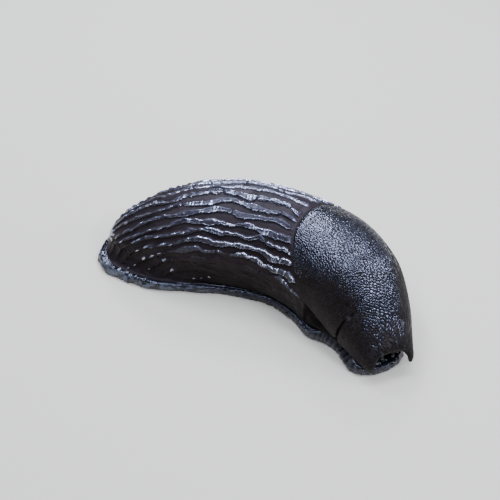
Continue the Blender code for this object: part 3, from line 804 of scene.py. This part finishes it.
def mantle_grid(across, along):
    """Stations and angles over the mantle: along runs from rear to front, across from right to left."""
    p = across[None, :]
    q = along[:, None]
    rear = rear_margin(np.abs(p) * EDGE_PLAIN)
    front = MANTLE_FRONT + HOOD_CORNER * rising(np.abs(p), 0.3, 0.5)
    fan = rear + (FAN_STATION - rear) * q / FAN_SHARE
    rest = FAN_STATION + (front - FAN_STATION) * (q - FAN_SHARE) / (1.0 - FAN_SHARE)
    s = np.where(q < FAN_SHARE, fan, rest)
    low = mantle_edge(s, p)
    return s, np.sign(p) * (EDGE_PLAIN * np.abs(p) + (low - EDGE_PLAIN) * p**2)


def mantle_skin(s, degrees, inset):
    """The mantle's skin: past the body's widest line it hangs straight down."""
    turn = np.minimum(np.abs(degrees), 90.0)
    v, z = section(s, np.sign(degrees) * turn, inset, 1.0)
    return place(s, v, z - EDGE_HANG * np.maximum(np.abs(degrees) - 90.0, 0.0))


def crowded(count, middle_at, spread, extra):
    """Shares from 0 to 1, closer together round one of them."""
    fine = np.linspace(0.0, 1.0, 2000)
    density = 1.0 + extra * bell(fine - middle_at, spread)
    run = np.concatenate([[0.0], np.cumsum((density[1:] + density[:-1]) / 2.0)])
    return np.interp(np.linspace(0.0, run[-1], count), run, fine)


def mantle(looks):
    """The mantle, a thick sheet with a rounded rim all round it."""
    columns = int(math.pi * WIDTH * MANTLE_SPAN / MANTLE_STEP)
    rows = int((MANTLE_FRONT - MANTLE_REAR[0][1]) * LENGTH / MANTLE_STEP)
    across = np.linspace(-1.0, 1.0, columns)
    notch = FAN_SHARE + (1.0 - FAN_SHARE) * (PORE[0] - FAN_STATION) / (MANTLE_FRONT - FAN_STATION)
    along = crowded(rows, notch, 0.06, 0.8)
    s, degrees = mantle_grid(across, along)
    thick = mantle_thickness(s)
    beside, behind, before = MANTLE_RIMS
    side_rim = 1.0 - round_end(1.0 - np.abs(across), beside)
    end_rim = 1.0 - np.minimum(round_end(along, behind), round_end(1.0 - along, before))
    rim = np.maximum(side_rim[None, :], end_rim[:, None])
    grain, plate, draw = granules(s, degrees)
    shadow = shaded_side(s, degrees)
    smooth = (1.0 - 0.8 * rising(rim, 0.15, 0.6)) * (1.0 - 0.1 * shadow)
    swell = 0.16 * drift(s * LENGTH / 7.0, degrees / 26.0, 61)
    pressed = 0.46 * thick * rim + pore_form(s, degrees)
    outer = mantle_skin(s, degrees, pressed - MANTLE_RISE - (grain - 0.06) * smooth - swell)
    inner = mantle_skin(s, degrees, thick * (1.0 - 0.4 * rim) - MANTLE_RISE)
    front = 0.75 * smoothstep((s - 0.915) / 0.06 + 0.25 * drift(s * LENGTH / 2.6, degrees / 9.0, 62))
    # The mantle's shaded side, its front and its rim keep the dull copy of the skin as painted shade;
    # elsewhere granule tops get the glossy lit copy
    shade_and_black = np.maximum(np.maximum(shadow, front), rising(rim, 0.3, 0.5))
    lit_spots = (face_means(plate) > 0.5) & (face_means(draw) < 1.0 - 1.02 * face_means(shade_and_black))
    top = np.arange(s.size).reshape(s.shape)
    under = top + s.size
    edge = np.stack([border(under), border(top)])
    finishes = (np.where(lit_spots, GRAIN, MANTLE), MANTLE, MANTLE)
    patches = [patch(*one) for one in zip((top, under[:, ::-1], edge), MANTLE_UNWRAP, finishes)]
    # The crest mask, low in the gaps between granules and 0 on the underside, paints shade nearly black there
    lattices = [(outer, plate * (0.4 + 0.6 * draw), shade_and_black, 0.0), (inner, 0.0, 1.0, 0.0)]
    return closed_surface("mantle_surface", looks, lattices, patches)


def shaded_side(s, degrees):
    """1 on the smooth part of the mantle that lies in shade, low on its sides and round its front."""
    return smoothstep((np.abs(degrees) - through(SHADE_FROM, s)) / 24.0 + 0.35)


def foot_run(side):
    """Stations along one edge of the sole, its points, outward directions and the distance run."""
    turn = np.linspace(0.0, np.pi, 6001)
    s = FOOT_START + (FOOT_END - FOOT_START) * (1.0 - np.cos(turn)) / 2.0
    points = place(s, foot_edge(s, side), 0.0)
    ahead = np.gradient(points, axis=0)
    ahead /= np.linalg.norm(ahead, axis=1, keepdims=True)
    outward = np.stack([-ahead[:, 1] * side, ahead[:, 0] * side, 0.0 * ahead[:, 0]], -1)
    run = np.concatenate([[0.0], np.cumsum(np.linalg.norm(np.diff(points, axis=0), axis=1))])
    return s, points, outward, run


def fringe_profile(side, at, stations, turn):
    """How far out and how high the fringe's skin lies, with masks of its bands, dark length and painted
    glints.
    """
    tail = falling(stations, *FRINGE_TAIL)
    front = rising(stations, *FRINGE_FRONT)
    uneven = at / RIB_PITCH + 0.8 * drift(at / 3.1, side * 5.0, 71)
    rib = (0.5 - 0.5 * np.cos(2.0 * np.pi * uneven)) ** 0.6
    stria = 0.5 - 0.5 * np.cos(2.0 * np.pi * (at / STRIA_PITCH + drift(at / 1.9, side * 4.0, 75)))
    strong = (0.35 + 0.65 * front - 0.25 * tail) * (0.7 + 0.3 * drift(at / 7.0, side * 9.0, 74))
    swell = drift(at / 4.6, side * 3.0, 72)
    fine = drift(at / 0.55, turn * 2.2, 73)
    blob = smoothstep(1.5 * drift(at / 1.7, 0.9 * turn + side * 7.0, 76)) * (1.0 - front)
    side_face = np.cos(turn) ** 0.7
    reach = FRINGE_WIDTH * (0.45 + 0.55 * np.maximum(np.cos(turn), 0.0) ** (0.75 + 0.45 * tail))
    reach = reach + side_face * (RIB_DEPTH * strong * (rib - 0.85) + 0.22 * swell * (1.0 - front) - 0.1)
    reach = reach + side_face * tail * (0.09 * stria - 0.08)
    reach = reach + 0.11 * side_face * fine
    creases = 0.16 * tail * drift(at / 0.8, 1.6 * turn, 78)
    reach = reach + side_face * ((0.22 + 0.10 * tail) * (blob - 0.4) - creases)
    level = 0.5 - 0.28 * tail
    above = np.maximum(np.sin(turn), 0.0) ** 0.85
    below = np.maximum(-np.sin(turn), 0.0) ** 0.8
    up = FRINGE_HEIGHT * (level + (1.0 - level) * above - level * below)
    up = up * (1.0 + 0.07 * swell + 0.03 * fine) * (1.0 - 0.05 * strong * (1.0 - rib))
    thick = rising(stations, 0.79, 0.06) * falling(stations, 0.970, 0.03)
    upper = smoothstep(np.degrees(turn) / 70.0)
    reach = reach - ROLL_INWARD * thick * upper
    up = up * (1.0 + ROLL_RISE * thick * upper)
    bands = np.maximum(rib * front, np.maximum(stria * tail, 0.5 * (1.0 - front) * (1.0 - tail)))
    # Blotches of painted highlight on the rear half of the fringe
    lit_spots = smoothstep(0.3 + 1.6 * drift(at / 1.1, 2.0 * turn + side * 7.0, 79))
    highlight_blotches = lit_spots * (0.7 * (1.0 - tail) * falling(stations, 0.40, 0.1) + 0.9 * tail)
    dark = 1.0 - np.maximum(tail, front) + 0.0 * side_face
    return reach, up, (bands * side_face, dark, highlight_blotches * side_face)


def fringe_half(side, stations, shares, turn):
    """One half of each ring of the foot, from under the middle, round the fringe, to the middle above."""
    s, points, outward, run = foot_run(side)
    root, out = (
        np.stack([np.interp(stations, s, rows[:, k]) for k in range(3)], -1)[:, None, :]
        for rows in (points, outward)
    )
    out = out / np.linalg.norm(out, axis=2, keepdims=True)
    middle = place(stations, through(FOOT, stations, 2), 0.0)[:, None, :]
    at = np.interp(stations, s, run)[:, None]
    reach, up, masks = fringe_profile(side, at, stations[:, None], turn[None, :])
    upward = np.array([0.0, 0.0, 1.0])
    fringe = root + out * reach[..., None] + upward * up[..., None]
    inner = shares[None, :, None]
    sole = middle + (root - middle) * inner
    uneven = 0.12 * drift(at / 0.9, 4.0 * shares[None, ::-1] + side * 3.0, 77)[..., None]
    cover = middle + (root - middle) * inner[:, ::-1] + upward * (FRINGE_HEIGHT * 0.9 + uneven)
    none = np.zeros((len(stations), len(shares)))
    masks = [np.concatenate([none, mask, none], 1) for mask in masks]
    return np.concatenate([sole, fringe, cover], 1), *masks


def foot(looks):
    """The flat sole with the ribbed fringe all round it."""
    s, _, _, left_run = foot_run(1)
    run = (left_run + foot_run(-1)[3]) / 2.0
    count = int(run[-1] / FRINGE_STEP)
    stations = np.interp(np.linspace(0.04, run[-1] - 0.04, count), run, s)
    shares = np.array([0.0, 0.2, 0.4, 0.6, 0.75, 0.87, 0.95])
    turn = np.radians(np.linspace(-90.0, 90.0, 38))
    halves = zip(*(fringe_half(side, stations, shares, turn) for side in (1, -1)))
    lattice = [np.concatenate([left, right[:, -2:0:-1]], 1) for left, right in halves]
    return tube("foot_surface", looks, lattice, FOOT_UNWRAP, FRINGE, FRINGE)


def head(looks):
    """The head, a blunt knob drawn in under the hood, with the line of the mouth across its front."""
    share = np.sin(np.linspace(0.0, 0.985 * np.pi / 2.0, 70))[:, None]
    angle = np.radians(np.arange(0.0, 360.0, 3.0))[None, :]
    start = SHOULDER_END - 0.025
    size = np.sqrt(1.0 - share**2.6)
    wrinkle = 1.0 + 0.03 * drift(share * 9.0, np.degrees(angle) / 12.0, 81) * smoothstep((1.0 - share) * 8.0)
    v = HEAD_HALF[0] * size * wrinkle * np.sin(angle)
    z = HEAD_MIDDLE + HEAD_HALF[1] * size * wrinkle * np.cos(angle)
    level = bell(z - HEAD_MIDDLE + MOUTH_DROP, 0.3)
    mouth = MOUTH_DEPTH * level * smoothstep((MOUTH_HALF + 0.6 - np.abs(v)) / 0.9)
    s = start + (HEAD_TIP - start) * share - mouth / LENGTH * rising(share, 0.6, 0.3)
    return tube("head_surface", looks, (place(s, v, z), 0.0, 1.0, 0.0), HEAD_UNWRAP, HEAD, HEAD)


def tentacle(name, looks, side, sizes, cup):
    """A short, drawn-in tentacle with a blunt tip, hollowed there if it carries an eye, and with rings."""
    aside, height, root, length, radius = sizes
    turn = np.radians(np.arange(0.0, 360.0, 9.0))
    steps = [(-TENTACLE_ROOTED / length, 0.86), *TENTACLE_STEPS]
    steps.append((1.0 - 0.45 * EYE_CUP / length, 0.62) if cup else (1.06, 0.5))
    steps.append((1.0 - EYE_CUP / length, 0.2) if cup else (1.1, 0.15))
    known = np.linspace(0.0, 1.0, len(steps))
    fine = np.linspace(0.0, 1.0, 60)
    along = np.interp(fine, known, [step[0] for step in steps])[:, None]
    wide = through([(t, step[1]) for t, step in zip(known, steps)], fine)[:, None]
    wide = wide * (1.0 + 0.035 * np.sin(26.0 * along) * (along < 0.9))
    v = side * aside + radius * wide * np.cos(turn)
    z = height + radius * wide * np.sin(turn)
    points = place(root + along * length / LENGTH + 0.0 * v, v, z)
    return tube(name, looks, (points, 0.0, 1.0, 0.0), TENTACLE_UNWRAP, HEAD, HEAD)


def without_scraps(mesh):
    """Takes out the few loose specks that a union leaves where two surfaces nearly touch."""
    ends = np.zeros(len(mesh.edges) * 2, np.int32)
    mesh.edges.foreach_get("vertices", ends)
    ends = ends.reshape(-1, 2)
    label = np.arange(len(mesh.vertices))
    for _ in range(12):
        low = label[ends].min(axis=1)
        np.minimum.at(label, ends[:, 0], low)
        np.minimum.at(label, ends[:, 1], low)
    whole = np.ones(len(label), bool)
    whole[label[ends[label[ends[:, 0]] != label[ends[:, 1]]]]] = False
    size = np.bincount(label, minlength=len(label))
    scraps = np.flatnonzero(whole[label] & (size[label] < SCRAP_POINTS))
    cut = bmesh.new()
    cut.from_mesh(mesh)
    cut.verts.ensure_lookup_table()
    bmesh.ops.delete(cut, geom=[cut.verts[int(k)] for k in scraps], context="VERTS")
    cut.to_mesh(mesh)
    cut.free()


def joined(base, others):
    """One closed surface of a base and what is fused with it."""
    group = bpy.data.collections.new("fused")
    for other in others:
        group.objects.link(other)
    union = base.modifiers.new("union", "BOOLEAN")
    union.operation = "UNION"
    union.solver = "MANIFOLD"
    union.operand_type = "COLLECTION"
    union.collection = group
    bpy.context.view_layer.update()
    fused = bpy.data.meshes.new_from_object(base.evaluated_get(bpy.context.evaluated_depsgraph_get()))
    without_scraps(fused)
    base.modifiers.clear()
    base.data = fused
    for other in others:
        bpy.data.objects.remove(other)
    bpy.data.collections.remove(group)
    return base


class Look:
    """A skin's material: noise in patches varies its colour and roughness, and finer noise is its relief."""

    def __init__(self, name, patches, roughness, level, relief, depth, tint=WET_TINT, places=PATCH_PLACES):
        self.material = bpy.data.materials.new(name)
        self.material.use_nodes = True
        self.nodes = self.material.node_tree.nodes
        self.links = self.material.node_tree.links
        self.inputs = self.nodes["Principled BSDF"].inputs
        self.patches = self.noise(*patches)
        self.links.new(self.ramp(*roughness, places), self.inputs["Roughness"])
        self.inputs["Specular IOR Level"].default_value = level
        self.inputs["Specular Tint"].default_value = (*tint, 1.0)
        bump = self.nodes.new("ShaderNodeBump")
        bump.inputs["Distance"].default_value = depth
        self.links.new(self.noise(*relief), bump.inputs["Height"])
        self.links.new(bump.outputs["Normal"], self.inputs["Normal"])

    def noise(self, scale, detail, roughness):
        """Noise fixed to the object, with its scale in waves per metre."""
        place_of = self.nodes.new("ShaderNodeTexCoord")
        made = self.nodes.new("ShaderNodeTexNoise")
        for name, value in (("Scale", scale), ("Detail", detail), ("Roughness", roughness)):
            made.inputs[name].default_value = value
        self.links.new(place_of.outputs["Object"], made.inputs["Vector"])
        return made.outputs["Fac"]

    def ramp(self, low, high, places=PATCH_PLACES):
        """A colour or a grey that the patches vary from low to high."""
        made = self.nodes.new("ShaderNodeValToRGB")
        for element, position, value in zip(made.color_ramp.elements, places, (low, high)):
            element.position = position
            element.color = (*value, 1.0) if isinstance(value, tuple) else (value, value, value, 1.0)
        self.links.new(self.patches, made.inputs["Fac"])
        return made.outputs["Color"]

    def mix(self, mask, first, second):
        """A colour that goes from the first to the second as the skin's mask goes from 0 to 1."""
        share = self.nodes.new("ShaderNodeAttribute")
        share.attribute_type = "GEOMETRY"
        share.attribute_name = mask
        made = self.nodes.new("ShaderNodeMix")
        made.data_type = "RGBA"
        self.links.new(share.outputs["Fac"], made.inputs["Factor"])
        for colour, name in ((first, "A"), (second, "B")):
            socket = next(one for one in made.inputs if one.name == name and one.type == "RGBA")
            if isinstance(colour, tuple):
                socket.default_value = (*colour, 1.0)
            else:
                self.links.new(colour, socket)
        return next(one for one in made.outputs if one.type == "RGBA")

    def coloured(self, colour):
        self.links.new(colour, self.inputs["Base Color"])
        return self.material


def hollow_shade_look():
    """The dull brown-black skin between the keels, with brown lines and painted shade down the flanks."""
    look = Look("hollow_shade_skin", (260.0, 3.0, 0.55), (0.55, 0.42), 0.11, (2600.0, 3.0, 0.6), 0.00003, DULL_TINT)
    hollow = look.ramp((0.0100, 0.0070, 0.0074), (0.0180, 0.0124, 0.0130))
    flank = look.mix("crest", (0.0025, 0.0021, 0.0021), (0.009, 0.0065, 0.0055))
    # Painted shade darkens the skin down the flanks and just below each keel
    return look.coloured(look.mix("shade_and_black", hollow, flank))


def keel_highlight_look():
    """The wettest parts of the keels and tubercles, with bluish highlights painted along their edges."""
    look = Look("keel_highlight_skin", (420.0, 3.0, 0.55), (0.12, 0.22), 0.9, (1500.0, 2.0, 0.5), 0.00002)
    look.inputs["IOR"].default_value = WET_IOR
    top = look.ramp((0.010, 0.0085, 0.0115), (0.020, 0.0165, 0.021))
    # Painted highlight: the mask lightens the top to a bluish white
    return look.coloured(look.mix("painted_highlight", top, (0.17, 0.19, 0.235)))


def damp_sheen_look():
    """The satin skin of the rest of the keels and tubercles, painted lighter and bluish as sheen."""
    look = Look("damp_sheen_skin", (420.0, 3.0, 0.55), (0.22, 0.36), 0.24, (1800.0, 3.0, 0.6), 0.00003)
    # Painted sheen: the faces are lighter and bluer than the hollows
    side = look.ramp((0.016, 0.014, 0.017), (0.032, 0.028, 0.034))
    # A faint painted highlight on the rims
    return look.coloured(look.mix("painted_highlight", side, (0.16, 0.175, 0.22)))


def mantle_shade_look():
    """The dull black-brown of the mantle, between its lit granules and in its shaded part."""
    look = Look("mantle_skin", (220.0, 3.0, 0.55), (0.5, 0.36), 0.13, (3000.0, 3.0, 0.6), 0.00002, DULL_TINT)
    skin = look.ramp((0.009, 0.007, 0.0062), (0.022, 0.017, 0.0148))
    # Painted shade: nearly black in the gaps between granules and on the mantle's underside
    return look.coloured(look.mix("crest", (0.0010, 0.0009, 0.0009), skin))


def lit_grain_look():
    """The wet tops of the mantle's granules, a glossier lit copy of its skin used only where light falls."""
    look = Look("mantle_lit_grain", (500.0, 2.0, 0.5), (0.11, 0.24), 0.75, (3000.0, 2.0, 0.5), 0.00001)
    return look.coloured(look.ramp((0.008, 0.008, 0.010), (0.016, 0.0165, 0.021)))


def fringe_look():
    """Black at mid length, grey and finely banded at the tail, blue-grey at the front; slime glints are
    painted.
    """
    patches = (190.0, 2.0, 0.5)
    look = Look("fringe_skin", patches, (0.16, 0.38), 0.48, (900.0, 2.0, 0.5), 0.00006, places=(0.35, 0.65))
    rib = look.ramp((0.018, 0.018, 0.019), (0.044, 0.043, 0.042))
    pale = look.mix("crest", (0.005, 0.005, 0.0055), rib)
    skin = look.mix("shade_and_black", pale, (0.0055, 0.0055, 0.0065))
    # Painted highlight: pale bluish glints in blotches
    return look.coloured(look.mix("painted_highlight", skin, (0.085, 0.092, 0.11)))


def head_look():
    """The darker, finer skin of the head and tentacles."""
    look = Look("head_skin", (400.0, 3.0, 0.55), (0.22, 0.4), 0.3, (3500.0, 3.0, 0.6), 0.00004, NO_TINT)
    return look.coloured(look.ramp((0.010, 0.010, 0.012), (0.022, 0.021, 0.023)))


def plain_look(name, colour, roughness):
    material = bpy.data.materials.new(name)
    material.use_nodes = True
    shader = material.node_tree.nodes["Principled BSDF"]
    shader.inputs["Base Color"].default_value = (*colour, 1.0)
    shader.inputs["Roughness"].default_value = roughness
    return material


def eye(name, look, side):
    """A glossy black eye, set in the hollow tip of an upper tentacle."""
    aside, height, root, length, _ = UPPER_TENTACLE
    centre = place(root + (length + 0.1) / LENGTH, side * aside, height) * MM
    bpy.ops.mesh.primitive_uv_sphere_add(segments=48, ring_count=32, radius=EYE_RADIUS * MM, location=centre)
    made = bpy.context.active_object
    made.name = f"{name}_surface"
    made.data.uv_layers[0].name = "OFBake"
    made.data.shade_smooth()
    made.data.materials.append(look)
    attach(made, "root")
    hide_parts(name)


def slug_skin():
    looks = [hollow_shade_look(), mantle_shade_look(), fringe_look(), head_look(), keel_highlight_look(), lit_grain_look(), damp_sheen_look()]
    skin = body(looks)
    others = [mantle(looks), foot(looks), head(looks)]
    for side, word in ((1, "left"), (-1, "right")):
        for sizes, cup in ((UPPER_TENTACLE, True), (LOWER_TENTACLE, False)):
            others.append(tentacle(f"tentacle_{word}_{len(others)}", looks, side, sizes, cup))
    return joined(skin, others)


def floor():
    bpy.ops.mesh.primitive_plane_add(size=FLOOR_SIZE)
    made = bpy.context.active_object
    made.name = "floor"
    made.data.materials.append(plain_look("floor_pale", FLOOR_COLOUR, 0.8))


def aimed(made, position, target):
    """Places a lamp or the camera so that it faces a target."""
    made.location = position
    made.rotation_euler = (Vector(target) - Vector(position)).to_track_quat("-Z", "Y").to_euler()


def soft_light(name, size, watts, position):
    """A round lamp with the sky's colour that faces the slug."""
    lamp = bpy.data.lights.new(name, "AREA")
    lamp.shape = "DISK"
    lamp.size = size
    lamp.energy = watts
    lamp.color = SKY_COLOUR
    aimed(in_scene(name, lamp), position, LIT_POINT)


def studio():
    world = bpy.data.worlds.new("studio")
    world.use_nodes = True
    background = world.node_tree.nodes["Background"]
    background.inputs["Color"].default_value = (*SKY_COLOUR, 1.0)
    background.inputs["Strength"].default_value = SKY_STRENGTH
    bpy.context.scene.world = world
    soft_light("overhead_panel", *OVERHEAD_PANEL)
    for k, (bearing, height, watts) in enumerate(LAMPS):
        turn = math.radians(bearing)
        rise = math.radians(height)
        away = Vector((math.cos(turn) * math.cos(rise), math.sin(turn) * math.cos(rise), math.sin(rise)))
        soft_light(f"lamp_{k}", LAMP_SIZE, watts, Vector(LIT_POINT) + LAMP_DISTANCE * away)


def camera():
    elevation = math.radians(VIEW_ELEVATION)
    target = Vector(VIEW_TARGET) * MM
    eye = target + Vector((0.0, -math.cos(elevation), math.sin(elevation))) * VIEW_DISTANCE * MM
    lens = bpy.data.cameras.new("camera")
    lens.sensor_width = 36.0
    lens.sensor_fit = "HORIZONTAL"
    lens.angle = math.radians(VIEW_ANGLE)
    lens.shift_x = (IMAGE_SIZE / 2.0 - VIEW_CENTRE[0]) / IMAGE_SIZE
    lens.shift_y = (VIEW_CENTRE[1] - IMAGE_SIZE / 2.0) / IMAGE_SIZE
    lens.clip_start, lens.clip_end = VIEW_CLIP
    bpy.context.scene.camera = in_scene("camera", lens)
    aimed(bpy.context.scene.camera, eye, target)


camera()
studio()
floor()
skin = slug_skin()
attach(skin, "root")
flesh = [node for node in sorted(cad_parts) if not node.startswith("eye_")]
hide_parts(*flesh)
eye_look = plain_look("eye_black", EYE_COLOUR, 0.12)
eye("eye_left", eye_look, 1)
eye("eye_right", eye_look, -1)
